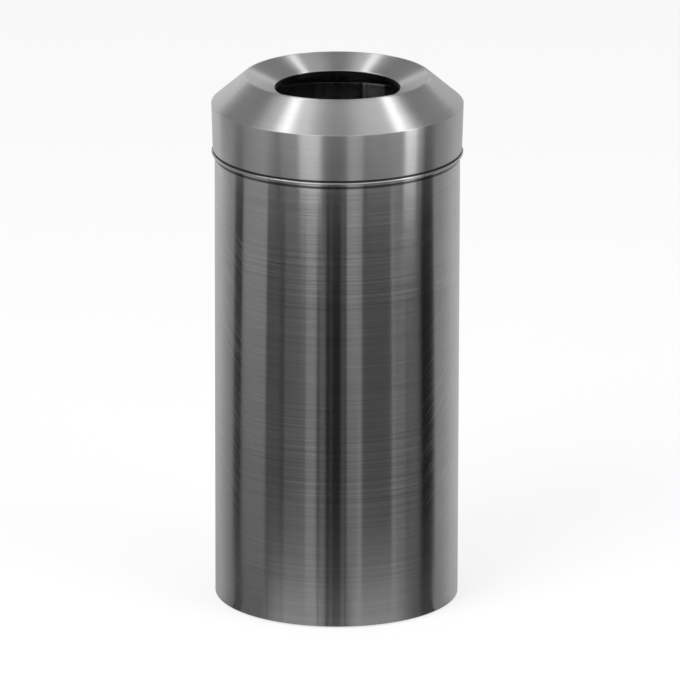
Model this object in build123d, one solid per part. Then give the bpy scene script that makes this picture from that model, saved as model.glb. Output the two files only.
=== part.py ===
"""A round stainless steel waste bin with a lift-off cone lid and a galvanised inner liner.

The bin stands on the XY plane with its axis on Z. Its front is towards -Y. Sizes are in millimetres.
"""

from build123d import *
import math
import os

# Driving dimensions of the stainless body
BODY_R = 150.0
OVERALL_H = 660.0
SHEET = 0.8
FLOOR_GAP = 2.0
RIM_TUBE_R = 3.0
# Clearance between pieces that come apart or turn, and of the handle's bar in its clip
LOOSE_GAP = 0.3
PIN_GAP = 0.1

# Driving dimensions of the lid
SHOULDER_R = 154.0
SHOULDER_Z = 626.0
SHOULDER_EDGE_R = 1.0
SKIRT_FOOT_R = 152.4
BEAD_Z = 565.0
BEAD_TUBE_R = 1.8
JOGGLE_TOP = 4.5
JOGGLE_FOOT = 2.0
CREST_R = 112.2
CREST_BEND_R = 5.0
MOUTH_R = 76.3
MOUTH_Z = 646.0
MOUTH_BEND_R = 2.0
LIP_DEPTH = 5.0

# Base plate, pressed with a flange that is welded inside the body
PLATE_TOP = 17.0
PLATE_SHEET = 1.2
PLATE_BEND_R = 3.0
PLATE_FLANGE = 12.0

# Rubber feet and the screw, washer and nut of each
FEET = {"front_left": 225, "front_right": 315, "back_left": 135, "back_right": 45}
FOOT_PITCH_R = 108.0
FOOT_TOP_R = 17.0
FOOT_BOTTOM_R = 14.0
FOOT_EDGE_R = 1.5
RECESS_R = 7.0
RECESS_DEPTH = 8.0
SCREW_R = 2.5
SCREW_HOLE_R = 2.75
SCREW_HEAD_R = 4.75
SCREW_HEAD_H = 3.0
SOCKET_ACROSS = 3.0
SOCKET_DEPTH = 1.8
WASHER_R = 6.0
WASHER_H = 1.2
NUT_ACROSS = 8.0
NUT_H = 4.0
SCREW_PROUD = 1.5

# Galvanised liner, which stands on the base plate
LINER_SHEET = 0.8
LINER_TOP = 615.0
LINER_TUBE_R = 2.4
LINER_GAP = 0.5
LINER_BASE_RISE = 12.5
LINER_BEND_R = 3.0
HEM_H = 6.0
SEAM_TURN = 76.7
SEAM_WIDTH = 5.8
SEAM_PROUD = 1.2

# Drop handles inside the liner, the saddle clips that hold them, and the clips' rivets
HANDLE_WIRE_R = 2.0
HANDLE_WIDTH = 72.0
HANDLE_DROP = 42.0
HANDLE_CORNER_R = 9.0
HANDLE_PIVOT_R = 131.0
HANDLE_PIVOT_Z = 590.0
CLIP_SHEET = 1.2
CLIP_WIDTH = 24.0
CLIP_HALF_H = 15.0
RIVET_OFFSET = 9.5
RIVET_R = 1.6
RIVET_HEAD_R = 3.4
RIVET_HEAD_H = 1.5
RIVET_TAIL_R = 2.7
RIVET_TAIL_H = 1.4

# Sizes that follow from them
BEAD_R = BODY_R + LOOSE_GAP + BEAD_TUBE_R
BEAD_WIRE_R = BEAD_TUBE_R - SHEET
CREST_CENTRE = (CREST_R, OVERALL_H - CREST_BEND_R)
MOUTH_CENTRE = (MOUTH_R + MOUTH_BEND_R, MOUTH_Z - MOUTH_BEND_R)
RIM_R = BODY_R - RIM_TUBE_R
LINER_FOOT = PLATE_TOP + LOOSE_GAP
LINER_RIM_R = BODY_R - 2 * RIM_TUBE_R - LINER_GAP - LINER_TUBE_R
LINER_RIM_Z = LINER_TOP - LINER_TUBE_R
LINER_WIRE_R = LINER_TUBE_R - LINER_SHEET
LINER_IN_R = LINER_RIM_R - LINER_TUBE_R
LINER_OUT_R = LINER_IN_R + LINER_SHEET
LINER_BASE_TOP = LINER_FOOT + LINER_BASE_RISE


def on_circle(centre, radius, degrees):
    """The point of a circle in the radial plane that lies at an angle from the outward direction."""
    angle = math.radians(degrees)
    return (centre[0] + radius * math.cos(angle), centre[1] + radius * math.sin(angle))


def tangent_angle(point, centre, radius):
    """The angle at which a straight line from an outer point touches the upper side of a circle."""
    across = (point[0] - centre[0], point[1] - centre[1])
    return math.degrees(math.atan2(across[1], across[0]) + math.acos(radius / math.hypot(*across)))


def common_tangent_angle(inner, inner_r, outer, outer_r):
    """The angle at which one straight line touches the upper sides of two circles."""
    across = (outer[0] - inner[0], outer[1] - inner[1])
    return math.degrees(math.atan2(across[1], across[0]) + math.acos((inner_r - outer_r) / math.hypot(*across)))


CONE_TOUCH = tangent_angle((SHOULDER_R, SHOULDER_Z), CREST_CENTRE, CREST_BEND_R)
FUNNEL_TOUCH = common_tangent_angle(MOUTH_CENTRE, MOUTH_BEND_R, CREST_CENTRE, CREST_BEND_R)
SKIRT_TILT = -math.degrees(math.atan2(SHOULDER_R - SKIRT_FOOT_R, SHOULDER_Z - BEAD_Z - JOGGLE_TOP))
SHOULDER_SPLIT = (CONE_TOUCH + SKIRT_TILT) / 2


def straight(*points):
    """Straight edges through points given as radius and height."""
    return [Line((a[0], 0, a[1]), (b[0], 0, b[1])) for a, b in zip(points, points[1:])]


def bend(centre, radius, start, end):
    """An arc in the radial plane from one angle to another, in degrees."""
    places = [on_circle(centre, radius, a) for a in (start, (start + end) / 2, end)]
    return [ThreePointArc(*[(p[0], 0, p[1]) for p in places])]


def turned(*edges):
    """The solid that a closed outline in the radial plane makes when it turns about the axis."""
    return revolve(make_face(list(edges)), Axis.Z, 360)


def ring_wire(radius, height, wire_r):
    """A round wire bent to a closed ring."""
    return Pos(0, 0, height) * Torus(radius, wire_r)


def body_shell():
    """The rolled body: a plain cylinder whose top edge is curled inwards, which carries the lid."""
    inner_r = RIM_TUBE_R - SHEET
    centre = (RIM_R, rim_height())
    tip = 250
    outer = straight((BODY_R, FLOOR_GAP), (BODY_R, centre[1])) + bend(centre, RIM_TUBE_R, 0, tip)
    end = straight(on_circle(centre, RIM_TUBE_R, tip), on_circle(centre, inner_r, tip))
    inner = bend(centre, inner_r, tip, 0) + straight((BODY_R - SHEET, centre[1]), (BODY_R - SHEET, FLOOR_GAP))
    foot = straight((BODY_R - SHEET, FLOOR_GAP), (BODY_R, FLOOR_GAP))
    return turned(*outer, *end, *inner, *foot)


def rim_height():
    """The height of the body's curl at which the cone's underside rests on it."""
    normal = math.radians(CONE_TOUCH)
    reach = RIM_TUBE_R + LOOSE_GAP + SHEET
    return SHOULDER_Z - (reach - (SHOULDER_R - RIM_R) * math.cos(normal)) / math.sin(normal)


def base_plate():
    """The pressed base: a flat disc with a flange turned down inside the body."""
    edge = BODY_R - SHEET
    bend_centre = (edge - PLATE_BEND_R, PLATE_TOP - PLATE_BEND_R)
    foot = PLATE_TOP - PLATE_FLANGE
    under = PLATE_TOP - PLATE_SHEET
    inner_r = PLATE_BEND_R - PLATE_SHEET
    plate = turned(
        *straight((0, PLATE_TOP), (bend_centre[0], PLATE_TOP)),
        *bend(bend_centre, PLATE_BEND_R, 90, 0),
        *straight((edge, bend_centre[1]), (edge, foot), (edge - PLATE_SHEET, foot), (edge - PLATE_SHEET, bend_centre[1])),
        *bend(bend_centre, inner_r, 0, 90),
        *straight((bend_centre[0], under), (0, under), (0, PLATE_TOP)),
    )
    hole = Cylinder(SCREW_HOLE_R, 4 * PLATE_SHEET)
    return plate - [Pos(0, 0, PLATE_TOP) * place * hole for place in foot_places()]


def foot_places():
    """Where the feet stand, as places on the floor under their middles."""
    return [Rot(0, 0, turn) * Pos(FOOT_PITCH_R, 0, 0) for turn in FEET.values()]


def rubber_foot():
    """A tapered rubber foot with a recess under it for the head of its screw."""
    top = PLATE_TOP - PLATE_SHEET
    slope = (FOOT_TOP_R - FOOT_BOTTOM_R) / top
    outline = straight(
        (SCREW_HOLE_R, RECESS_DEPTH),
        (RECESS_R, RECESS_DEPTH),
        (RECESS_R, 0),
        (FOOT_BOTTOM_R - FOOT_EDGE_R, 0),
        (FOOT_BOTTOM_R + slope * FOOT_EDGE_R, FOOT_EDGE_R),
        (FOOT_TOP_R, top),
        (SCREW_HOLE_R, top),
        (SCREW_HOLE_R, RECESS_DEPTH),
    )
    return turned(*outline)


def foot_washer():
    """The steel washer that spreads the screw's load in the foot's recess."""
    disc = Cylinder(WASHER_R, WASHER_H) - Cylinder(SCREW_HOLE_R, 2 * WASHER_H)
    return Pos(0, 0, RECESS_DEPTH - WASHER_H / 2) * disc


def foot_screw():
    """The button-head screw that holds a foot to the base plate."""
    seat = RECESS_DEPTH - WASHER_H
    tip = PLATE_TOP + NUT_H + SCREW_PROUD
    shoulder = SCREW_HEAD_R - 1.2
    body = turned(
        *straight((0, seat - SCREW_HEAD_H), (shoulder, seat - SCREW_HEAD_H), (SCREW_HEAD_R, seat - SCREW_HEAD_H / 2)),
        *straight((SCREW_HEAD_R, seat - SCREW_HEAD_H / 2), (SCREW_HEAD_R, seat), (SCREW_R, seat), (SCREW_R, tip)),
        *straight((SCREW_R, tip), (0, tip), (0, seat - SCREW_HEAD_H)),
    )
    socket = extrude(RegularPolygon(SOCKET_ACROSS / 2, 6, major_radius=False), SOCKET_DEPTH)
    return body - Pos(0, 0, seat - SCREW_HEAD_H) * socket


def foot_nut():
    """The hexagon nut above the base plate, under the raised base of the liner."""
    hexagon = RegularPolygon(NUT_ACROSS / 2, 6, major_radius=False) - Circle(SCREW_R)
    return Pos(0, 0, PLATE_TOP) * extrude(hexagon, NUT_H)


def shoulder_inset(depth):
    """The point at the welded shoulder that lies equally deep under the faces of the cone and the skirt."""
    reach = depth / math.cos(math.radians(CONE_TOUCH - SHOULDER_SPLIT))
    return on_circle((SHOULDER_R, SHOULDER_Z), reach, SHOULDER_SPLIT + 180)


def shoulder_edge(degrees):
    """A point on the shoulder's ground edge, which rounds the weld between the cone and the skirt."""
    return on_circle(shoulder_inset(SHOULDER_EDGE_R), SHOULDER_EDGE_R, degrees)


def shoulder_round(start, end):
    """The part of the shoulder's ground edge between two angles, in degrees."""
    return bend(shoulder_inset(SHOULDER_EDGE_R), SHOULDER_EDGE_R, start, end)


def lid_cone():
    """The spun top of the lid: a cone, a rounded crest, and a funnel down to the mouth's turned lip."""
    lip_foot = MOUTH_CENTRE[1] - LIP_DEPTH
    crest_in = CREST_BEND_R - SHEET
    mouth_in = MOUTH_BEND_R - SHEET
    outside = (
        straight((MOUTH_R, lip_foot), (MOUTH_R, MOUTH_CENTRE[1]))
        + bend(MOUTH_CENTRE, MOUTH_BEND_R, 180, FUNNEL_TOUCH)
        + straight(
            on_circle(MOUTH_CENTRE, MOUTH_BEND_R, FUNNEL_TOUCH),
            on_circle(CREST_CENTRE, CREST_BEND_R, FUNNEL_TOUCH),
        )
        + bend(CREST_CENTRE, CREST_BEND_R, FUNNEL_TOUCH, CONE_TOUCH)
        + straight(on_circle(CREST_CENTRE, CREST_BEND_R, CONE_TOUCH), shoulder_edge(CONE_TOUCH))
        + shoulder_round(CONE_TOUCH, SHOULDER_SPLIT)
        + straight(shoulder_edge(SHOULDER_SPLIT), shoulder_inset(SHEET))
    )
    inside = (
        straight(shoulder_inset(SHEET), on_circle(CREST_CENTRE, crest_in, CONE_TOUCH))
        + bend(CREST_CENTRE, crest_in, CONE_TOUCH, FUNNEL_TOUCH)
        + straight(
            on_circle(CREST_CENTRE, crest_in, FUNNEL_TOUCH),
            on_circle(MOUTH_CENTRE, mouth_in, FUNNEL_TOUCH),
        )
        + bend(MOUTH_CENTRE, mouth_in, FUNNEL_TOUCH, 180)
        + straight((MOUTH_R + SHEET, MOUTH_CENTRE[1]), (MOUTH_R + SHEET, lip_foot), (MOUTH_R, lip_foot))
    )
    return turned(*outside, *inside)


def lid_skirt():
    """The lid's slightly tapered band, stepped in and curled outwards round a wire at its lower edge."""
    centre = (BEAD_R, BEAD_Z)
    tip = 420
    wire_side = BEAD_R - BEAD_WIRE_R
    body_side = BEAD_R - BEAD_TUBE_R
    outside = (
        shoulder_round(SHOULDER_SPLIT, SKIRT_TILT)
        + straight(
            shoulder_edge(SKIRT_TILT),
            (SKIRT_FOOT_R, BEAD_Z + JOGGLE_TOP),
            (wire_side, BEAD_Z + JOGGLE_FOOT),
            (wire_side, BEAD_Z),
        )
        + bend(centre, BEAD_WIRE_R, 180, tip)
    )
    end = straight(on_circle(centre, BEAD_WIRE_R, tip), on_circle(centre, BEAD_TUBE_R, tip))
    inside = bend(centre, BEAD_TUBE_R, tip, 180) + straight(
        (body_side, BEAD_Z),
        (body_side, BEAD_Z + JOGGLE_FOOT),
        (SKIRT_FOOT_R - SHEET, BEAD_Z + JOGGLE_TOP),
        shoulder_inset(SHEET),
        shoulder_edge(SHOULDER_SPLIT),
    )
    return turned(*outside, *end, *inside)


def liner_wall():
    """The liner's wall: wired at the top, hemmed round its base, and closed by an upright lock seam."""
    centre = (LINER_RIM_R, LINER_RIM_Z)
    tip = -110
    hem_r = LINER_IN_R - 2 * LINER_SHEET
    hem_top = LINER_FOOT + HEM_H
    hem_floor = LINER_FOOT + LINER_SHEET
    outside = straight((LINER_OUT_R, LINER_FOOT), (LINER_OUT_R, LINER_RIM_Z)) + bend(centre, LINER_WIRE_R, 180, tip)
    end = straight(on_circle(centre, LINER_WIRE_R, tip), on_circle(centre, LINER_TUBE_R, tip))
    inside = bend(centre, LINER_TUBE_R, tip, 180) + straight(
        (LINER_IN_R, LINER_RIM_Z),
        (LINER_IN_R, hem_floor),
        (hem_r + LINER_SHEET, hem_floor),
        (hem_r + LINER_SHEET, hem_top),
        (hem_r, hem_top),
        (hem_r, LINER_FOOT),
        (LINER_OUT_R, LINER_FOOT),
    )
    wall = turned(*outside, *end, *inside) + lock_seam()
    return wall - [place * Cylinder(RIVET_R, 4 * LINER_TUBE_R) for place in rivet_places()]


def lock_seam():
    """The folded seam that closes the liner's sheet to a tube, a flat ridge up the inside of its wall."""
    foot = LINER_BASE_TOP + LOOSE_GAP
    height = LINER_RIM_Z - LINER_TUBE_R - foot
    depth = SEAM_PROUD + LINER_SHEET / 2
    ridge = Pos(LINER_IN_R - SEAM_PROUD + depth / 2, 0, foot + height / 2) * Box(depth, SEAM_WIDTH, height)
    return Rot(0, 0, SEAM_TURN) * ridge


def liner_base():
    """The liner's base: a disc raised clear of the foot nuts, with its flange held in the wall's hem."""
    edge = LINER_IN_R
    foot = LINER_FOOT + LINER_SHEET
    bend_centre = (edge - LINER_BEND_R, LINER_BASE_TOP - LINER_BEND_R)
    under = LINER_BASE_TOP - LINER_SHEET
    return turned(
        *straight((0, LINER_BASE_TOP), (bend_centre[0], LINER_BASE_TOP)),
        *bend(bend_centre, LINER_BEND_R, 90, 0),
        *straight((edge, bend_centre[1]), (edge, foot), (edge - LINER_SHEET, foot), (edge - LINER_SHEET, bend_centre[1])),
        *bend(bend_centre, LINER_BEND_R - LINER_SHEET, 0, 90),
        *straight((bend_centre[0], under), (0, under), (0, LINER_BASE_TOP)),
    )


def drop_handle():
    """The right-hand handle, hanging: one wire bent to a closed loop, with its top bar in the clip."""
    middle = Plane(
        origin=(HANDLE_PIVOT_R, 0, HANDLE_PIVOT_Z - HANDLE_DROP / 2), x_dir=(0, 1, 0), z_dir=(1, 0, 0)
    )
    loop = (middle * RectangleRounded(HANDLE_WIDTH, HANDLE_DROP, HANDLE_CORNER_R)).face().outer_wire()
    section = Plane(origin=loop @ 0, z_dir=loop % 0) * Circle(HANDLE_WIRE_R)
    return sweep(section, path=loop)


def clip_face():
    """How far the flat face of a clip's flanges stands from the axis, with its edges on the wall."""
    return math.sqrt(LINER_IN_R**2 - (CLIP_WIDTH / 2) ** 2) - CLIP_SHEET


def handle_clip():
    """The right-hand saddle clip: a strap over the handle's bar, with a flange above and below it."""
    bore = HANDLE_WIRE_R + PIN_GAP
    arch = bore + CLIP_SHEET
    reach = LINER_OUT_R - HANDLE_PIVOT_R
    flange = LINER_OUT_R - clip_face()
    pivot = Pos(HANDLE_PIVOT_R, HANDLE_PIVOT_Z)
    legs = Pos(HANDLE_PIVOT_R + reach / 2, HANDLE_PIVOT_Z)
    flanges = Pos(clip_face() + flange / 2, HANDLE_PIVOT_Z) * Rectangle(flange, 2 * CLIP_HALF_H)
    strap = flanges + legs * Rectangle(reach, 2 * arch) + pivot * Circle(arch)
    strap -= legs * Rectangle(reach, 2 * bore) + pivot * Circle(bore)
    clip = extrude(Plane.XZ * strap, CLIP_WIDTH / 2, both=True)
    clip &= Pos(0, 0, HANDLE_PIVOT_Z) * Cylinder(LINER_IN_R, 4 * CLIP_HALF_H)
    return clip - [place * Cylinder(RIVET_R, 4 * LINER_TUBE_R) for place in rivet_places()]


def rivet_places():
    """Places on the clips' flat faces, each with its own Z outwards through the liner's wall."""
    return [
        Rot(0, 0, side) * Pos(clip_face(), 0, HANDLE_PIVOT_Z + rise) * Rot(0, 90, 0)
        for side in (0, 180)
        for rise in (-RIVET_OFFSET, RIVET_OFFSET)
    ]


def clip_rivet():
    """A blind rivet: a domed head on the clip, a shank, and a tail outside the wall."""
    grip = LINER_OUT_R - clip_face()
    dome = ThreePointArc(
        (0, 0, -RIVET_HEAD_H), (0.7 * RIVET_HEAD_R, 0, -0.7 * RIVET_HEAD_H), (RIVET_HEAD_R, 0, 0)
    )
    rest = straight(
        (RIVET_HEAD_R, 0),
        (RIVET_R, 0),
        (RIVET_R, grip),
        (RIVET_TAIL_R, grip),
        (RIVET_TAIL_R - 0.5, grip + RIVET_TAIL_H),
        (0, grip + RIVET_TAIL_H),
        (0, -RIVET_HEAD_H),
    )
    return turned(dome, *rest)


def bin_parts():
    """Every piece of the bin where it stands at rest, under its node's name."""
    half_turn = Rot(0, 0, 180)
    feet = foot_places()
    parts = {
        "body_shell": body_shell(),
        "base_plate": base_plate(),
        "foot_washers": [place * foot_washer() for place in feet],
        "foot_screws": [place * foot_screw() for place in feet],
        "foot_nuts": [place * foot_nut() for place in feet],
        "lid_cone": lid_cone(),
        "lid_skirt": lid_skirt(),
        "lid_bead_wire": ring_wire(BEAD_R, BEAD_Z, BEAD_WIRE_R),
        "liner_wall": liner_wall(),
        "liner_rim_wire": ring_wire(LINER_RIM_R, LINER_RIM_Z, LINER_WIRE_R),
        "liner_base": liner_base(),
        "right_handle": drop_handle(),
        "left_handle": half_turn * drop_handle(),
        "right_handle_clip": handle_clip(),
        "left_handle_clip": half_turn * handle_clip(),
        "handle_rivets": [place * clip_rivet() for place in rivet_places()],
    }
    for name, place in zip(FEET, feet):
        parts["foot_" + name] = place * rubber_foot()
    return parts


def main():
    """Write each piece to its own file."""
    os.makedirs("parts", exist_ok=True)
    for name, part in bin_parts().items():
        shape = Compound(children=part) if isinstance(part, list) else part
        export_step(shape, f"parts/{name}.step")


main()
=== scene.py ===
"""The look of a round waste bin: a brushed stainless body and cone lid, and a galvanised liner.

Everything is in metres in the part's own frame: +Z is up the bin's axis, and -Y is towards its front.
"""

from __future__ import annotations

import logging
import math
from dataclasses import dataclass
from enum import Enum
from typing import Any

import bpy
from mathutils import Matrix, Vector

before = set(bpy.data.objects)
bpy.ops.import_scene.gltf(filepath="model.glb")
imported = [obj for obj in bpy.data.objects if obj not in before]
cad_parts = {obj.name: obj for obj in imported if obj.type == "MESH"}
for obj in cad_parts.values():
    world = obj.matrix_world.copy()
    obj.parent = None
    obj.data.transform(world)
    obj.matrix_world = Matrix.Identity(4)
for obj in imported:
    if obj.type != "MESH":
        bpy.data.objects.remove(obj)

Colour = tuple[float, float, float, float]
WHITE: Colour = (1.0, 1.0, 1.0, 1.0)
BACK_BLUR = 0.05
FLOOR = 0.0
FADE_TOP = 0.5
ZENITH = 90.0
DEGREES = 180.0 / math.pi

logging.basicConfig(level=logging.INFO, format="%(message)s")
log = logging.getLogger("bin")


def grey(level: float) -> Colour:
    """A neutral colour of one level, opaque."""
    return (level, level, level, 1.0)


class Value:
    """A number that varies over a surface. Arithmetic on it adds Math nodes."""

    def __init__(self, maker: "NodeMaker", socket: bpy.types.NodeSocket) -> None:
        """Wraps the output socket of a node that the maker added."""
        self.maker = maker
        self.socket = socket

    def _math(self, operation: str, *terms: "Value | float") -> "Value":
        """Adds one Math node.

        Args:
            operation: The node's operation.
            terms: The values or numbers of its sockets, in order.

        Returns:
            The node's result.
        """
        node = self.maker.add("ShaderNodeMath", {"operation": operation}, dict(enumerate(terms)))
        return Value(self.maker, node.outputs[0])

    def __add__(self, other: "Value | float") -> "Value":
        """The sum with another value or a number."""
        return self._math("ADD", self, other)

    def __radd__(self, other: float) -> "Value":
        """The sum of a number and this value."""
        return self._math("ADD", other, self)

    def __sub__(self, other: "Value | float") -> "Value":
        """The difference from another value or a number."""
        return self._math("SUBTRACT", self, other)

    def __rsub__(self, other: float) -> "Value":
        """A number less this value."""
        return self._math("SUBTRACT", other, self)

    def __mul__(self, other: "Value | float") -> "Value":
        """The product with another value or a number."""
        return self._math("MULTIPLY", self, other)

    def __rmul__(self, other: float) -> "Value":
        """The product of a number and this value."""
        return self._math("MULTIPLY", other, self)

    def __truediv__(self, other: "Value | float") -> "Value":
        """The quotient by another value or a number."""
        return self._math("DIVIDE", self, other)

    def __rtruediv__(self, other: float) -> "Value":
        """A number divided by this value."""
        return self._math("DIVIDE", other, self)

    def __abs__(self) -> "Value":
        """The size of this value without its sign."""
        return self._math("ABSOLUTE", self)

    def maximum(self, other: "Value | float") -> "Value":
        """The larger of this value and another."""
        return self._math("MAXIMUM", self, other)

    def minimum(self, other: "Value | float") -> "Value":
        """The smaller of this value and another."""
        return self._math("MINIMUM", self, other)

    def angle_from(self, other: "Value") -> "Value":
        """The angle, in radians, whose sine goes with this value and whose cosine goes with the other."""
        return self._math("ARCTAN2", self, other)

    def root(self) -> "Value":
        """The square root of this value."""
        return self._math("SQRT", self)

    def smooth(self, start: float, end: float) -> "Value":
        """A smooth step of this value.

        Args:
            start: Where the step is 0.
            end: Where the step is 1. It may be less than start.

        Returns:
            A value from 0 to 1.
        """
        node = self.maker.add(
            "ShaderNodeMapRange",
            {"interpolation_type": "SMOOTHSTEP"},
            {"Value": self, "From Min": start, "From Max": end},
        )
        return Value(self.maker, node.outputs["Result"])


class NodeMaker:
    """Adds nodes to the tree of one material, or of the world."""

    def __init__(self, owner: bpy.types.Material | bpy.types.World) -> None:
        """Empties the owner's node tree, and adds to it from then on."""
        owner.use_nodes = True
        self.tree = owner.node_tree
        self.tree.nodes.clear()
        kind = "World" if isinstance(owner, bpy.types.World) else "Material"
        self.output = "ShaderNodeOutput" + kind

    def add(
        self,
        kind: str,
        settings: dict[str, Any] | None = None,
        inputs: dict[str | int, Any] | None = None,
    ) -> bpy.types.Node:
        """Adds any node.

        Args:
            kind: The node's type.
            settings: Its own settings, which are set first.
            inputs: The values or links of its sockets, by their name or index.

        Returns:
            The new node.
        """
        node = self.tree.nodes.new(kind)
        for name, setting in (settings or {}).items():
            setattr(node, name, setting)
        for name, value in (inputs or {}).items():
            source = value.socket if isinstance(value, Value) else value
            if isinstance(source, bpy.types.NodeSocket):
                self.tree.links.new(source, node.inputs[name])
            else:
                node.inputs[name].default_value = source
        return node

    def finish(self, shader: bpy.types.NodeSocket) -> None:
        """Joins a shader to the tree's output."""
        self.add(self.output, inputs={"Surface": shader})

    def place(self) -> tuple[Value, Value, Value]:
        """The point on the piece in metres, as X, Y and Z in the part's frame."""
        coordinates = self.add("ShaderNodeTexCoord")
        parts = self.add("ShaderNodeSeparateXYZ", inputs={0: coordinates.outputs["Object"]})
        x, y, z = (Value(self, socket) for socket in parts.outputs)
        return x, y, z

    def noise(
        self, point: tuple[Value, Value, Value], detail: float = 2.0, roughness: float = 0.5
    ) -> Value:
        """A cloudy pattern, from about 0.25 to 0.75.

        Args:
            point: Where to read it, with the scale already in each of the three values.
            detail: How many finer layers it has.
            roughness: How strong they are.

        Returns:
            The pattern.
        """
        vector = self.add("ShaderNodeCombineXYZ", inputs=dict(enumerate(point)))
        node = self.add(
            "ShaderNodeTexNoise",
            {"noise_dimensions": "3D"},
            {"Vector": vector.outputs[0], "Scale": 1.0, "Detail": detail, "Roughness": roughness},
        )
        return Value(self, node.outputs[0])

    def mix(self, share: Value | float, first: Any, second: Any) -> bpy.types.NodeSocket:
        """Mixes two colours.

        Args:
            share: How much of the second colour there is, from 0 to 1.
            first: A colour or a colour socket.
            second: A colour or a colour socket.

        Returns:
            The mixed colour's socket.
        """
        node = self.add("ShaderNodeMix", {"data_type": "RGBA"}, {0: share, 6: first, 7: second})
        return node.outputs[2]

    def bump(self, height: Value, distance: float) -> bpy.types.NodeSocket:
        """A normal from a height of 0 to 1 times a distance in metres."""
        node = self.add("ShaderNodeBump", inputs={"Strength": 1.0, "Distance": distance, "Height": height})
        return node.outputs[0]


def new_material(name: str) -> tuple[bpy.types.Material, NodeMaker]:
    """A new material with an empty tree, and the maker of its nodes."""
    material = bpy.data.materials.new(name)
    return material, NodeMaker(material)


@dataclass(frozen=True)
class Pattern:
    """A noise pattern, with its cells per metre along X and Y and in its third direction."""

    sideways: float
    across: float
    detail: float = 2.0
    roughness: float = 0.5
    shift: float = 0.0

    def over(self, maker: NodeMaker, x: Value, y: Value, across: Value) -> Value:
        """Reads the pattern.

        Args:
            maker: The maker of the material's nodes.
            x: The point's X.
            y: The point's Y.
            across: The point's place in the third direction.

        Returns:
            A value from about 0.25 to 0.75.
        """
        point = (x * self.sideways, y * self.sideways, across * self.across + self.shift)
        return maker.noise(point, self.detail, self.roughness)


class Grain(Enum):
    """Which way the brush went over a piece."""

    ROUND_THE_WALL = "level lines round an upright wall"
    ROUND_THE_TOP = "rings on a spun top"


@dataclass(frozen=True)
class BrushMarks:
    """The marks of a brush: their patterns, and how far each one moves the tone and the roughness."""

    hair: Pattern = Pattern(14.0, 1500.0, detail=1.0)
    lines: Pattern = Pattern(4.0, 520.0, roughness=0.6)
    bands: Pattern = Pattern(2.5, 70.0, roughness=0.6)
    clouds: Pattern = Pattern(14.0, 10.0, detail=3.0, roughness=0.6)
    hair_tone: float = 0.3
    line_tone: float = 1.7
    band_tone: float = 0.2
    cloud_tone: float = 0.4
    wipe_tone: float = 0.38
    tone_from: float = -0.2
    tone_to: float = 1.2
    cloud_matt: float = 0.05
    line_matt: float = 0.04
    wipe_matt: float = 0.12
    dull_matt: float = 0.15
    ring_rise: float = 0.5
    relief: float = 0.000003


@dataclass(frozen=True)
class WearAndPaintedShade:
    """What use does to the steel of the bin, and the painted highlight, shadow and shade on it, with heights
    and radii in metres.

    Each belt is the middle and the half of a height that hands and furniture rub, where the lines show most.
    """

    rubbed: Pattern = Pattern(5.0, 9.0, detail=1.0, shift=1.3)
    belts: tuple[tuple[float, float], ...] = ((0.442, 0.034), (0.198, 0.048))
    quiet_depth: float = 0.36
    rubbed_depth: float = 0.16
    belt_depth: float = 0.42
    side_share: float = 0.3
    front_from: float = 0.085
    front_to: float = 0.128
    side_from: float = 0.085
    side_to: float = 0.125
    # A painted highlight ring just under the lid's bead, and a painted shadow ring below it.
    bead_highlight_height: float = 0.5624
    bead_highlight_half: float = 0.0011
    bead_highlight_core: float = 0.0006
    bead_highlight_share: float = 0.8
    bead_highlight_colour: Colour = grey(0.86)
    bead_shadow_height: float = 0.5596
    bead_shadow_half: float = 0.0024
    bead_shadow_core: float = 0.0009
    bead_shadow_share: float = 0.55
    bead_shadow_clouds: float = 0.5
    bead_shadow_colour: Colour = grey(0.06)
    # Painted shade, near black, on the inner faces of the shell, base plate and skirt.
    inner_shade_colour: Colour = grey(0.05)
    inner_shade_share: float = 0.85
    wipe_lean: float = 50.0
    wall_radius: float = 0.15


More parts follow.
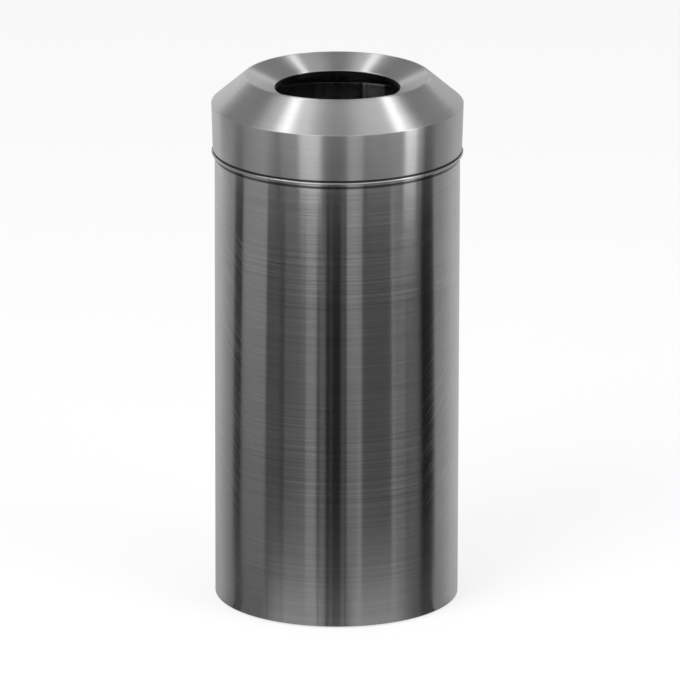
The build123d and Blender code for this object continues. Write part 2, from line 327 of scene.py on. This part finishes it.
@dataclass(frozen=True)
class BrushedSteel:
    """Stainless sheet with level brush lines, handling marks and a little cloudiness, with painted shade on
    inner faces and on the lip, and a painted highlight and shadow under the lid's bead.

    Its scratches and marks are how strong the lines and the wipe marks are, where the body's are 1.
    """

    name: str
    grain: Grain
    pale: float = 0.69
    dark: float = 0.43
    roughness: float = 0.30
    anisotropy: float = 1.0
    scratches: float = 1.0
    marks: float = 1.0
    # The inner radius, blur and flare place the painted shade on a wall's inner face.
    inner_radius: float = 0.1494
    inner_blur: float = 0.0003
    flare: float = 0.0
    # The lip fields place painted shade, a near-black colour, on the inner face of the mouth's turned lip.
    lip_radius: float = 0.0788
    lip_blur: float = 0.0018
    lip_top: float = 0.6456
    lip_top_blur: float = 0.001
    lip_shade_colour: Colour = grey(0.012)
    seam_half: float = 0.0028
    seam_core: float = 0.00196
    seam_drift: float = 0.0012
    seam_share: float = 0.25
    seam_grit: float = 0.5
    seam_colour: Colour = grey(0.30)
    brush: BrushMarks = BrushMarks()
    wear_and_shade: WearAndPaintedShade = WearAndPaintedShade()

    def material(self) -> bpy.types.Material:
        """Builds the finish."""
        material, maker = new_material(self.name)
        x, y, z = maker.place()
        radius = (x * x + y * y).root()
        brush = self.brush
        spun = self.grain is Grain.ROUND_THE_TOP
        across = radius + z * brush.ring_rise if spun else z
        hair = brush.hair.over(maker, x, y, across)
        lines = brush.lines.over(maker, x, y, across)
        bands = brush.bands.over(maker, x, y, across)
        clouds = brush.clouds.over(maker, x, y, z)
        wipes = self._wipes(maker, x, y, z)
        depth = self._line_depth(maker, x, y, z)
        tone = 0.5 + (lines - 0.5) * depth * brush.line_tone + (hair - 0.5) * brush.hair_tone
        tone = tone + (bands - 0.5) * brush.band_tone
        tone = tone + (clouds - 0.5) * brush.cloud_tone + wipes * brush.wipe_tone
        rough = self.roughness + (clouds - 0.5) * brush.cloud_matt
        rough = rough + (lines - 0.5) * depth * brush.line_matt + wipes * brush.wipe_matt
        share = tone.smooth(brush.tone_from, brush.tone_to)
        shade = maker.mix(share, grey(self.dark), grey(self.pale))
        if spun:
            # Painted shade on the lip's inner face, which is also made matt.
            lip_shade_or_seam = self._lip_shade(radius, z)
            shade = maker.mix(lip_shade_or_seam, shade, self.lip_shade_colour)
        else:
            lip_shade_or_seam = self._ground_seam(maker, x, y, z)
            shade = maker.mix(lip_shade_or_seam, shade, self.seam_colour)
            # Painted highlight and shadow under the lid's bead, and painted shade on the inner face.
            shade = self._paint_bead_light_and_inner_shade(maker, shade, radius, z, clouds)
        steel = maker.add(
            "ShaderNodeBsdfPrincipled",
            inputs={
                "Base Color": shade,
                "Metallic": 1.0,
                "Roughness": rough + lip_shade_or_seam * brush.dull_matt,
                "Anisotropic": self.anisotropy,
                "Anisotropic Rotation": 0.25,
                "Normal": maker.bump(hair * 0.4 + lines * depth * 0.4, brush.relief),
            },
        )
        maker.finish(steel.outputs[0])
        return material

    def _line_depth(self, maker: NodeMaker, x: Value, y: Value, z: Value) -> Value:
        """How strongly the brush lines show: most in the rubbed belts, and at the front.

        Args:
            maker: The maker of the material's nodes.
            x: The point's X.
            y: The point's Y.
            z: The point's Z.

        Returns:
            The lines' strength, from 0 to about 1.
        """
        wear_and_shade = self.wear_and_shade
        rubbed = wear_and_shade.rubbed.over(maker, x, y, z).smooth(0.38, 0.56)
        depth = wear_and_shade.quiet_depth + rubbed * wear_and_shade.rubbed_depth
        for middle, half in wear_and_shade.belts:
            depth = depth + abs(z - middle).smooth(half * 1.6, half * 0.5) * wear_and_shade.belt_depth
        front = (0.0 - y).smooth(wear_and_shade.front_from, wear_and_shade.front_to)
        return depth * (front * (1.0 - wear_and_shade.side_share) + wear_and_shade.side_share) * self.scratches

    def _paint_bead_light_and_inner_shade(
        self, maker: NodeMaker, shade: bpy.types.NodeSocket, radius: Value, z: Value, clouds: Value
    ) -> bpy.types.NodeSocket:
        """Paints a highlight ring and a shadow ring just under the lid's bead, and shade on the inner face.

        Args:
            maker: The maker of the material's nodes.
            shade: The clean steel's colour.
            radius: The point's distance from the axis.
            z: The point's Z.
            clouds: The steel's cloudiness.

        Returns:
            The steel's colour with the painted highlight, shadow and shade.
        """
        wear_and_shade = self.wear_and_shade
        # A painted highlight ring and a painted shadow ring under the lid's bead.
        bead_highlight_ring = abs(z - wear_and_shade.bead_highlight_height).smooth(wear_and_shade.bead_highlight_half, wear_and_shade.bead_highlight_core)
        bead_shadow_ring = abs(z - wear_and_shade.bead_shadow_height).smooth(wear_and_shade.bead_shadow_half, wear_and_shade.bead_shadow_core)
        # Painted shade on the inner face.
        inside = (radius - z * self.flare).smooth(self.inner_radius + self.inner_blur, self.inner_radius)
        bead_shadow = bead_shadow_ring * (wear_and_shade.bead_shadow_share + clouds * wear_and_shade.bead_shadow_clouds)
        shade = maker.mix(bead_highlight_ring * wear_and_shade.bead_highlight_share, shade, wear_and_shade.bead_highlight_colour)
        shade = maker.mix(bead_shadow, shade, wear_and_shade.bead_shadow_colour)
        return maker.mix(inside * wear_and_shade.inner_shade_share, shade, wear_and_shade.inner_shade_colour)

    def _ground_seam(self, maker: NodeMaker, x: Value, y: Value, z: Value) -> Value:
        """The mark of the upright weld, ground flush, at the very back of a rolled wall.

        Args:
            maker: The maker of the material's nodes.
            x: The point's X.
            y: The point's Y.
            z: The point's Z.

        Returns:
            The strength of the mark, from 0 to 1.
        """
        drift = (maker.noise((0.0 * x, 0.0 * y, z * 60.0)) - 0.5) * self.seam_drift
        weld = abs(x + drift).smooth(self.seam_half, self.seam_core)
        grit = maker.noise((x * 900.0, y * 10.0, z * 2200.0), detail=1.0)
        return weld * y.smooth(0.0, BACK_BLUR) * (self.seam_share + grit * self.seam_grit)

    def _lip_shade(self, radius: Value, z: Value) -> Value:
        """Where shade is painted on the inner face of the mouth's turned lip, as a share from 0 to 1; the
        face is also made matt.
        """
        inside = radius.smooth(self.lip_radius, self.lip_radius - self.lip_blur)
        return inside * z.smooth(self.lip_top, self.lip_top - self.lip_top_blur)

    def _wipes(self, maker: NodeMaker, x: Value, y: Value, z: Value) -> Value:
        """Slanting marks that hands and a cloth leave on the two sides, in patches.

        Args:
            maker: The maker of the material's nodes.
            x: The point's X.
            y: The point's Y.
            z: The point's Z.

        Returns:
            The strength of the marks, from 0 to about 1.
        """
        wear_and_shade = self.wear_and_shade
        lean = math.radians(wear_and_shade.wipe_lean)
        around = abs(x.angle_from(0.0 - y)) * wear_and_shade.wall_radius
        along = around * math.sin(lean) + z * math.cos(lean)
        aside = around * math.cos(lean) - z * math.sin(lean)
        threads = maker.noise((x * 6.0, aside * 300.0, along * 7.0)).smooth(0.47, 0.74)
        patches = maker.noise((x * 3.0, y * 6.0, z * 7.0 + 3.7), detail=1.0).smooth(0.42, 0.58)
        sides = abs(x).smooth(wear_and_shade.side_from, wear_and_shade.side_to)
        return threads * patches * sides * self.marks


@dataclass(frozen=True)
class GalvanisedSheet:
    """Sheet steel with a dull zinc coat in small crystals, with painted shade within the shaded radius of
    the axis and painted highlights at the back of its inner face.
    """

    name: str
    spangle: float = 0.006
    shaded_radius: float = 0.0
    pale: Colour = (0.42, 0.425, 0.43, 1.0)
    dark: Colour = (0.27, 0.275, 0.28, 1.0)
    # Painted shade inside the shaded radius, and painted highlights on a strip and the lock seam's edge at
    # the back.
    inner_shade_colour: Colour = grey(0.05)
    highlight_colour: Colour = grey(0.80)
    highlight_middle: float = 0.047
    highlight_half: float = 0.0125
    highlight_core: float = 0.0095
    seam_middle: float = 0.0335
    seam_half: float = 0.0032
    seam_core: float = 0.0018
    relief: float = 0.00002
    clouds: Pattern = Pattern(20.0, 20.0, detail=3.0)

    def material(self) -> bpy.types.Material:
        """Builds the finish."""
        material, maker = new_material(self.name)
        x, y, z = maker.place()
        size = 1.0 / self.spangle
        vector = maker.add("ShaderNodeCombineXYZ", inputs={0: x * size, 1: y * size, 2: z * size})
        cells = maker.add(
            "ShaderNodeTexVoronoi", {"feature": "F1"}, {"Vector": vector.outputs[0], "Scale": 1.0}
        )
        channels = maker.add("ShaderNodeSeparateColor", inputs={0: cells.outputs["Color"]})
        crystal = Value(maker, channels.outputs[0])
        clouds = self.clouds.over(maker, x, y, z)
        tone = crystal * 0.7 + (clouds - 0.5) * 0.8 + 0.15
        shade = maker.mix(tone.smooth(0.0, 1.0), self.dark, self.pale)
        shade = self._paint_inner_shade_and_highlights(maker, shade, x, y, clouds)
        zinc = maker.add(
            "ShaderNodeBsdfPrincipled",
            inputs={
                "Base Color": shade,
                "Metallic": 1.0,
                "Roughness": 0.34 + crystal * 0.12 + (clouds - 0.5) * 0.1,
                "Normal": maker.bump(crystal, self.relief),
            },
        )
        maker.finish(zinc.outputs[0])
        return material

    def _paint_inner_shade_and_highlights(
        self, maker: NodeMaker, shade: bpy.types.NodeSocket, x: Value, y: Value, clouds: Value
    ) -> bpy.types.NodeSocket:
        """Paints shade on the inner face, with a painted highlight on the lock seam's edge and on a strip
        beside it, and lighter bands near the middle.

        Args:
            maker: The maker of the material's nodes.
            shade: The clean zinc's colour.
            x: The point's X.
            y: The point's Y.
            The zinc's colour with the painted shade and highlights.

        Returns:
            The soiled zinc's colour.
        """
        # Painted shade on the inner face, lighter in two bands near the middle, and painted highlights at
        # the back.
        inside = (x * x + y * y).root().smooth(self.shaded_radius + 0.0004, self.shaded_radius)
        back = y.smooth(0.0, BACK_BLUR)
        strip = abs(x - self.highlight_middle).smooth(self.highlight_half, self.highlight_core)
        edge = abs(x - self.seam_middle).smooth(self.seam_half, self.seam_core) * back
        highlight_strip = strip * back * (0.5 + clouds) * 1.1
        lighter_bands = abs(x - 0.0005).smooth(0.003, 0.006) * abs(x).smooth(0.029, 0.025)
        inner_shade = inside * (0.70 + clouds * 0.12 - lighter_bands * 0.14)
        shade = maker.mix(inner_shade, shade, self.inner_shade_colour)
        return maker.mix((inside * highlight_strip.maximum(edge)).minimum(1.0), shade, self.highlight_colour)


@dataclass(frozen=True)
class PlainMetal:
    """Zinc-coated wire or small hardware, with light and dark flecks from handling."""

    name: str
    pale: Colour
    dark: Colour
    roughness: float
    flecks: Pattern = Pattern(600.0, 600.0, detail=3.0)
    rubs: Pattern = Pattern(90.0, 90.0)
    relief: float = 0.00003

    def material(self) -> bpy.types.Material:
        """Builds the finish."""
        material, maker = new_material(self.name)
        x, y, z = maker.place()
        flecks = self.flecks.over(maker, x, y, z)
        rubs = self.rubs.over(maker, x, y, z)
        tone = (flecks * 0.6 + rubs * 0.6).smooth(0.35, 0.85)
        metal = maker.add(
            "ShaderNodeBsdfPrincipled",
            inputs={
                "Base Color": maker.mix(tone, self.dark, self.pale),
                "Metallic": 1.0,
                "Roughness": self.roughness + (rubs - 0.5) * 0.3,
                "Normal": maker.bump(flecks, self.relief),
            },
        )
        maker.finish(metal.outputs[0])
        return material


@dataclass(frozen=True)
class MouldedRubber:
    """Matte black rubber with a fine mould grain and dust on it."""

    name: str
    clean: Colour = grey(0.022)
    dusty: Colour = grey(0.07)
    grain: Pattern = Pattern(1800.0, 1800.0)
    dust: Pattern = Pattern(70.0, 70.0, detail=4.0)
    relief: float = 0.00006

    def material(self) -> bpy.types.Material:
        """Builds the finish."""
        material, maker = new_material(self.name)
        x, y, z = maker.place()
        grain = self.grain.over(maker, x, y, z)
        dust = self.dust.over(maker, x, y, z)
        rubber = maker.add(
            "ShaderNodeBsdfPrincipled",
            inputs={
                "Base Color": maker.mix(dust.smooth(0.45, 0.75), self.clean, self.dusty),
                "Roughness": 0.62 + (dust - 0.5) * 0.5,
                "Normal": maker.bump(grain, self.relief),
            },
        )
        maker.finish(rubber.outputs[0])
        return material


def dress(material: bpy.types.Material, *nodes: str) -> None:
    """Gives CAD nodes a finish.

    Args:
        material: The finish.
        nodes: The nodes' names.
    """
    for node in nodes:
        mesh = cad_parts[node].data
        mesh.materials.clear()
        mesh.materials.append(material)
        log.info("dressed %s in %s", node, material.name)


def select_only(piece: bpy.types.Object) -> None:
    """Selects one object alone and makes it the active one."""
    bpy.ops.object.select_all(action="DESELECT")
    piece.select_set(True)
    bpy.context.view_layer.objects.active = piece


def settle(piece: bpy.types.Object) -> None:
    """Moves an object's place, turn and scale into its mesh."""
    select_only(piece)
    bpy.ops.object.transform_apply(location=True, rotation=True, scale=True)


@dataclass
class Body:
    """The standing can: shell, base plate and feet."""

    shell_roughness: float = 0.20
    zinc_roughness: float = 0.30
    pale_zinc: Colour = (0.74, 0.74, 0.72, 1.0)
    dark_zinc: Colour = (0.52, 0.52, 0.50, 1.0)

    def build(self) -> None:
        """Dresses the can."""
        steel = BrushedSteel("brushed_shell", Grain.ROUND_THE_WALL, roughness=self.shell_roughness)
        dress(steel.material(), "body_shell", "base_plate")
        rubber = MouldedRubber("foot_rubber").material()
        dress(rubber, "foot_front_left", "foot_front_right", "foot_back_left", "foot_back_right")
        zinc = PlainMetal("bright_zinc", self.pale_zinc, self.dark_zinc, self.zinc_roughness)
        dress(zinc.material(), "foot_screws", "foot_washers", "foot_nuts")


@dataclass
class Lid:
    """The lift-off top: spun cone and funnel, skirt and wired bead.

    The skirt's flare is the metres that its radius gains in each metre of height, and its inner radius is
    what that flare would leave of it at the floor.
    """

    cone_roughness: float = 0.30
    cone_marks: float = 0.3
    skirt_roughness: float = 0.31
    skirt_scratches: float = 0.35
    skirt_marks: float = 0.5
    # The skirt's inner radius and flare place the painted shade on its inner face.
    skirt_inner_radius: float = 0.13705
    skirt_flare: float = 0.0262
    wire_roughness: float = 0.4
    pale_wire: Colour = (0.62, 0.63, 0.64, 1.0)
    dark_wire: Colour = (0.44, 0.45, 0.46, 1.0)

    def build(self) -> None:
        """Dresses the lid."""
        spun = BrushedSteel(
            "spun_cone",
            Grain.ROUND_THE_TOP,
            roughness=self.cone_roughness,
            scratches=self.cone_marks,
            marks=self.cone_marks,
        )
        dress(spun.material(), "lid_cone")
        skirt = BrushedSteel(
            "brushed_skirt",
            Grain.ROUND_THE_WALL,
            roughness=self.skirt_roughness,
            scratches=self.skirt_scratches,
            marks=self.skirt_marks,
            inner_radius=self.skirt_inner_radius,
            flare=self.skirt_flare,
        )
        dress(skirt.material(), "lid_skirt")
        wire = PlainMetal("bead_wire", self.pale_wire, self.dark_wire, self.wire_roughness)
        dress(wire.material(), "lid_bead_wire")


@dataclass
class Liner:
    """The lift-out bucket with its rim wire, handles, clips and rivets."""

    # The radius within which the liner's inner face gets painted shade.
    shaded_radius: float = 0.1389
    strap_spangle: float = 0.004
    wire_roughness: float = 0.42
    pale_wire: Colour = (0.60, 0.61, 0.62, 1.0)
    dark_wire: Colour = (0.40, 0.41, 0.42, 1.0)
    rivet_roughness: float = 0.33
    pale_rivet: Colour = grey(0.74)
    dark_rivet: Colour = grey(0.55)

    def build(self) -> None:
        """Dresses the liner."""
        sheet = GalvanisedSheet("galvanised_sheet", shaded_radius=self.shaded_radius)
        dress(sheet.material(), "liner_wall", "liner_base")
        strap = GalvanisedSheet("galvanised_strap", self.strap_spangle)
        dress(strap.material(), "right_handle_clip", "left_handle_clip")
        wire = PlainMetal("drawn_wire", self.pale_wire, self.dark_wire, self.wire_roughness)
        dress(wire.material(), "liner_rim_wire", "right_handle", "left_handle")
        rivet = PlainMetal("rivet_zinc", self.pale_rivet, self.dark_rivet, self.rivet_roughness)
        dress(rivet.material(), "handle_rivets")


@dataclass(frozen=True)
class Card:
    """A strip of the studio that polished metal reflects, to the left (-) or right (+) of the front.

    Its azimuth, half width and softness are in degrees. Its foot and top are heights on the light tent in
    metres, or elevations on the dome in degrees. Its fade is how bright it is at the floor, as a share of
    its level higher up.
    """

    name: str
    azimuth: float
    half_width: float
    level: float
    softness: float = 2.0
    foot: float = FLOOR
    top: float = ZENITH
    fade: float = 1.0


@dataclass
class Studio:
    """The floor, the lamps, the tent and dome that the metal reflects, the world and the camera.

    Lengths are in metres, angles in degrees, and the lens and sensor in millimetres. Levels of light are
    shares of white.
    """

    floor_radius: float = 40.0
    floor_colour: Colour = grey(0.86)
    floor_shine: float = 0.72
    room_light: float = 0.75
    room_shown: float = 1.0
    lamp_aim: tuple[float, float, float] = (0.0, 0.0, 0.35)
    body_radius: float = 0.15
    tent_radius: float = 0.5
    tent_height: float = 0.80
    tent_gap: float = 0.001
    tent_blur: float = 0.03
    tent_level: float = 0.010
    brim_foot: float = 0.55
    brim_top: float = 0.70
    brim_gain: float = 0.28
    upper_foot: float = 0.50
    upper_top: float = 0.9
    mat_radius: float = 0.55
    mat_inner_radius: float = 0.14
    mat_share: float = 0.9
    dome_radius: float = 8.0
    dome_centre: float = 0.65
    dome_seam: float = 0.8
    dome_level: float = 0.30
    zenith_gain: float = 0.04
    ceiling_blur: float = 4.0
    softbox_blur: float = 6.0
    sensor: float = 36.0
    distance: float = 11.4027
    elevation: float = 16.763
    target: tuple[float, float, float] = (0.0037, 0.0, 0.3232)
    roll: float = 0.12
    lens: float = 491.2

    def build(self) -> None:
        """Sets the whole stage."""
        self._set_camera()
        self._set_world()
        self._lay_floor()
        self._hang_lamps()
        self._pitch_tent()
        self._raise_dome()
        bpy.context.scene.view_settings.view_transform = "Standard"

    def _set_camera(self) -> None:
        """Puts the camera where the photograph was taken from."""
        lens = bpy.data.cameras.new("camera")
        lens.lens = self.lens
        lens.sensor_width = self.sensor
        lens.clip_end = 200.0
        camera = bpy.data.objects.new("camera", lens)
        tilt = math.radians(self.elevation)
        x, y, z = self.target
        camera.location = (x, y - self.distance * math.cos(tilt), z + self.distance * math.sin(tilt))
        lift = Matrix.Rotation(math.radians(90.0) - tilt, 3, "X")
        roll = Matrix.Rotation(math.radians(self.roll), 3, "Z")
        camera.rotation_euler = (lift @ roll).to_euler()
        bpy.context.scene.collection.objects.link(camera)
        bpy.context.scene.camera = camera

    @staticmethod
    def _seen(maker: NodeMaker) -> Value:
        """Is 1 for rays from the camera and for those that a glossy or clear surface sends on."""
        path = maker.add("ShaderNodeLightPath")
        rays = ("Is Camera Ray", "Is Glossy Ray", "Is Transmission Ray")
        camera, glossy, clear = (Value(maker, path.outputs[ray]) for ray in rays)
        return camera.maximum(glossy).maximum(clear)

    def _set_world(self) -> None:
        """A white surround that lights the object evenly."""
        world = bpy.data.worlds.new("white_room")
        bpy.context.scene.world = world
        maker = NodeMaker(world)
        lit = maker.add("ShaderNodeBackground", inputs={"Color": WHITE, "Strength": self.room_light})
        shown = maker.add("ShaderNodeBackground", inputs={"Color": WHITE, "Strength": self.room_shown})
        both = maker.add(
            "ShaderNodeMixShader", inputs={0: self._seen(maker), 1: lit.outputs[0], 2: shown.outputs[0]}
        )
        maker.finish(both.outputs[0])

    def _lay_floor(self) -> None:
        """A plain pale floor that keeps the bin's shadow."""
        bpy.ops.mesh.primitive_circle_add(vertices=96, radius=self.floor_radius, fill_type="NGON")
        floor = bpy.context.object
        floor.name = "floor"
        material, maker = new_material("pale_floor")
        matte = maker.add("ShaderNodeBsdfDiffuse", inputs={"Color": self.floor_colour})
        white = maker.add("ShaderNodeEmission", inputs={"Color": WHITE, "Strength": 1.0})
        shine = self._seen(maker) * self.floor_shine
        both = maker.add("ShaderNodeMixShader", inputs={0: shine, 1: matte.outputs[0], 2: white.outputs[0]})
        maker.finish(both.outputs[0])
        floor.data.materials.append(material)

    def _hang_lamps(self) -> None:
        """One large soft lamp high in front, and a weaker one on the other side."""
        for name, place, size, power in (
            ("key_lamp", (-1.8, -2.2, 3.0), 2.2, 95.0),
            ("fill_lamp", (2.4, -1.6, 2.4), 2.0, 45.0),
        ):
            light = bpy.data.lights.new(name, "AREA")
            light.size = size
            light.energy = power
            lamp = bpy.data.objects.new(name, light)
            lamp.location = place
            aim = Vector(self.lamp_aim) - lamp.location
            lamp.rotation_euler = aim.to_track_quat("-Z", "Y").to_euler()
            lamp.visible_camera = False
            lamp.visible_glossy = False
            bpy.context.scene.collection.objects.link(lamp)

    def wall_cards(self) -> list[Card]:
        """The strips of the tent, by azimuth. A later one lies over the ones before it."""
        upper = {"foot": self.upper_foot, "top": self.upper_top}
        return [
            Card("left_wall_near", -150.0, 53.0, 0.29, softness=3.5, fade=0.8),
            Card("left_wall", -165.0, 38.0, 0.62, softness=34.0, fade=0.8),
            Card("right_wall_near", 150.0, 61.0, 0.32, softness=4.0),
            Card("right_wall", 165.0, 40.0, 0.58, softness=35.0),
            Card("left_corner", -88.0, 4.0, 0.040, softness=3.0),
            Card("left_room", -71.0, 12.5, 0.36, softness=1.5, fade=0.55),
            Card("left_shelf", -46.5, 9.0, 0.085, softness=1.5),
            Card("left_shelf_gap", -43.5, 1.6, 0.05, softness=1.0),
            Card("left_shelf_edge", -39.5, 1.2, 0.13, softness=1.0),
            Card("left_door", -31.5, 5.0, 0.125, softness=1.0),
            Card("left_window", -21.0, 4.0, 0.26, softness=3.0),
            Card("left_pane_bar", -25.2, 0.5, 0.10, softness=0.8),
            Card("left_frame", -11.0, 2.0, 0.125, softness=0.8),
            Card("front_post_edge", -4.5, 0.6, 0.05, softness=1.0),
            Card("front_stand", 4.6, 1.0, 0.09, softness=1.0),
            Card("front_window", 13.4, 5.6, 0.345, softness=1.0, fade=0.5),
            Card("front_pane_bar", 17.2, 0.9, 0.27, softness=0.8),
            Card("right_room", 32.0, 12.0, 0.080, softness=1.0),
            Card("right_blind_edge", 45.2, 1.3, 0.26, softness=1.0),
            Card("right_window", 53.0, 6.2, 0.19, softness=1.0),
            Card("right_curtain_fold", 57.6, 1.2, 0.12, softness=1.0),
            Card("right_curtain", 64.0, 5.4, 0.15, softness=0.8),
            Card("right_curtain_edge", 70.0, 1.2, 0.10, softness=0.8),
            Card("high_left_door", -36.0, 8.0, 0.42, softness=3.0, **upper),
            Card("high_left_window", -21.0, 7.2, 1.4, softness=3.0, **upper),
            Card("high_front", 0.0, 9.0, 0.22, softness=3.0, **upper),
            Card("high_front_window", 14.5, 5.5, 0.62, softness=2.0, **upper),
            Card("high_right_room", 37.0, 13.0, 0.40, softness=2.0, **upper),
            Card("high_right_window", 61.0, 4.5, 2.1, softness=3.0, **upper),
            Card("high_right_blind", 71.0, 1.5, 0.9, softness=2.0, **upper),
            Card("high_right_corner", 80.0, 5.0, 0.22, softness=4.0, **upper),
            Card("high_left_wall", -84.0, 30.0, 0.38, softness=8.0, **upper),
            Card("high_left_side", -146.0, 24.0, 0.75, softness=10.0, **upper),
        ]

    def ceiling_cards(self) -> list[Card]:
        """The strips of the dome behind the bin, by the fan that they make from the middle of its back."""
        return [
            Card("middle_ceiling_shade", 1.0, 2.0, 0.24, softness=8.0),
            Card("left_ceiling_edge", -90.0, 6.0, 0.95, softness=20.0),
            Card("left_ceiling_shade", -60.0, 5.0, 0.32, softness=15.0),
            Card("left_ceiling_glow", -28.0, 7.0, 0.68, softness=15.0, foot=58.0),
            Card("left_lamp_low", -25.0, 0.8, 2.0, softness=2.0, foot=18.0, top=60.0),
            Card("left_lamp_halo", -19.0, 2.5, 0.95, softness=6.0, foot=60.0),
            Card("left_lamp", -26.2, 2.0, 2.7, softness=4.4, foot=59.0),
            Card("right_ceiling_edge", 90.0, 7.0, 0.98, softness=20.0),
            Card("right_ceiling_shade", 57.0, 7.0, 0.33, softness=12.0),
            Card("right_ceiling_glow", 24.0, 7.0, 0.68, softness=14.0, foot=58.0),
            Card("right_lamp_low", 30.0, 0.6, 0.85, softness=2.6, foot=18.0, top=56.0),
            Card("right_lamp", 30.7, 1.3, 2.6, softness=2.8, foot=52.0),
        ]

    def front_cards(self) -> list[Card]:
        """The strips of the dome's front half, which light the shoulder's edge, the bead and the skirt."""
        return [
            Card("front_softbox", 0.0, 50.0, 2.1, softness=8.0, foot=22.0, top=48.0),
            Card("front_left_softbox", -14.0, 5.0, 2.3, softness=3.0, foot=4.0, top=45.0),
            Card("front_right_softbox", 34.4, 2.0, 3.8, softness=2.5, foot=4.0, top=45.0),
        ]

    @staticmethod
    def _paint(start: Value, cards: list[Card], turn: Value, height: Value, blur: float) -> Value:
        """Lays cards over a level, and labels their nodes.

        Args:
            start: The level under all the cards.
            cards: The cards, from the lowest to the topmost.
            turn: The azimuth of a point, in degrees.
            height: Its height, in the unit of the cards' foot and top.
            blur: How soft the cards' foot and top are, in that unit.

        Returns:
            The level with the cards on it.
        """
        level = start
        rise = height.smooth(FLOOR, FADE_TOP)
        for card in cards:
            share = abs(turn - card.azimuth).smooth(card.half_width + card.softness, card.half_width)
            if card.foot > FLOOR:
                share = share * height.smooth(card.foot - blur, card.foot + blur)
            if card.top < ZENITH:
                share = share * height.smooth(card.top + blur, card.top - blur)
            share.socket.node.label = card.name
            shade = card.level
            if card.fade < 1.0:
                shade = card.level * (card.fade + (1.0 - card.fade) * rise)
            level = level + share * (shade - level)
        return level

    def _pitch_tent(self) -> None:
        """A tube of cards round the bin with a mat at its foot, which only polished surfaces see."""
        bpy.ops.mesh.primitive_cylinder_add(
            vertices=96,
            radius=self.tent_radius,
            depth=self.tent_height,
            end_fill_type="NGON",
            location=(0.0, 0.0, self.tent_height / 2 + self.tent_gap),
        )
        tent = bpy.context.object
        tent.name = "tent"
        settle(tent)
        bpy.ops.object.mode_set(mode="EDIT")
        bpy.ops.mesh.select_all(action="DESELECT")
        bpy.ops.object.mode_set(mode="OBJECT")
        for face in tent.data.polygons:
            face.select = face.normal.z > 0.5
        bpy.ops.object.mode_set(mode="EDIT")
        bpy.ops.mesh.delete(type="FACE")
        bpy.ops.object.mode_set(mode="OBJECT")
        material, maker = new_material("tent_cards")
        x, y, z = maker.place()
        reach = (x * x + y * y).root()
        turn = self._mirrored(x.angle_from(0.0 - y) * DEGREES, reach, z)
        room = self.tent_level + z.smooth(self.brim_foot, self.brim_top) * self.brim_gain
        level = self._paint(room, self.wall_cards(), turn, z, self.tent_blur)
        near = reach.smooth(self.mat_radius, self.mat_inner_radius)
        glow = (level.smooth(-0.12, 0.09) * self._pool(turn)).maximum(level * 0.85)
        level = level + near * self.mat_share * (glow - level)
        self._light_up(tent, material, maker, level)

    def _mirrored(self, turn: Value, reach: Value, height: Value) -> Value:
        """Where a point of the tent shows in the bin's wall.

        A card on the floor or high up is turned a little, so that its picture in the wall stays upright.

        Args:
            turn: The point's own azimuth, in degrees.
            reach: Its distance from the axis.
            height: Its height.

        Returns:
            The azimuth of the tent's wall that shows in the same place, in degrees.
        """
        spread = 2.0 - self.body_radius / reach
        spread_at_wall = 2.0 - self.body_radius / self.tent_radius
        lean = 1.06 - height.smooth(0.0, 0.9) * 0.09
        return turn * spread_at_wall / (spread * lean)

    @staticmethod
    def _pool(turn: Value) -> Value:
        """How bright the floor at the bin's foot is by azimuth, most on the front's two sides."""
        middle, sides, loss = 0.24, 0.22, 0.33
        aside = abs(turn)
        return middle + aside.smooth(6.0, 16.0) * sides - aside.smooth(38.0, 70.0) * loss

    def _raise_dome(self) -> None:
        """A pale ceiling over the tent with its lamps and softboxes, which only polished surfaces see."""
        bpy.ops.mesh.primitive_uv_sphere_add(
            segments=96, ring_count=48, radius=self.dome_radius, location=(0.0, 0.0, self.dome_centre)
        )
        dome = bpy.context.object
        dome.name = "dome"
        settle(dome)
        material, maker = new_material("dome_ceiling")
        x, y, z = maker.place()
        reach = self.dome_radius * math.cos(math.radians(self.elevation))
        fan = x.angle_from(reach - y) * DEGREES
        rise = (z - self.dome_centre).angle_from((x * x + y * y).root()) * DEGREES
        bare = self.dome_level + rise.smooth(50.0, 80.0) * self.zenith_gain
        behind = self._paint(bare, self.ceiling_cards(), fan, rise, self.ceiling_blur)
        before = self._paint(behind, self.front_cards(), fan, rise, self.softbox_blur)
        level = behind + y.smooth(self.dome_seam, -self.dome_seam) * (before - behind)
        self._light_up(dome, material, maker, level)

    @staticmethod
    def _light_up(
        piece: bpy.types.Object, material: bpy.types.Material, maker: NodeMaker, level: Value
    ) -> None:
        """Makes a piece of the studio glow, and shows it to polished surfaces alone.

        Args:
            piece: The piece.
            material: Its new material.
            maker: The maker of the material's nodes.
            level: How brightly it glows, where 1 is white.
        """
        glow = maker.add("ShaderNodeEmission", inputs={"Color": level, "Strength": 1.0})
        maker.finish(glow.outputs[0])
        material.cycles.emission_sampling = "NONE"
        piece.data.materials.append(material)
        piece.visible_camera = False
        piece.visible_diffuse = False
        piece.visible_shadow = False
        piece.visible_transmission = False


def main() -> None:
    """Builds the stage, dresses each sub-assembly and logs each one built."""
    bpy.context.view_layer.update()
    for assembly in (Studio(), Body(), Lid(), Liner()):
        assembly.build()
        log.info("built %s", type(assembly).__name__)


if __name__ == "__main__":
    main()
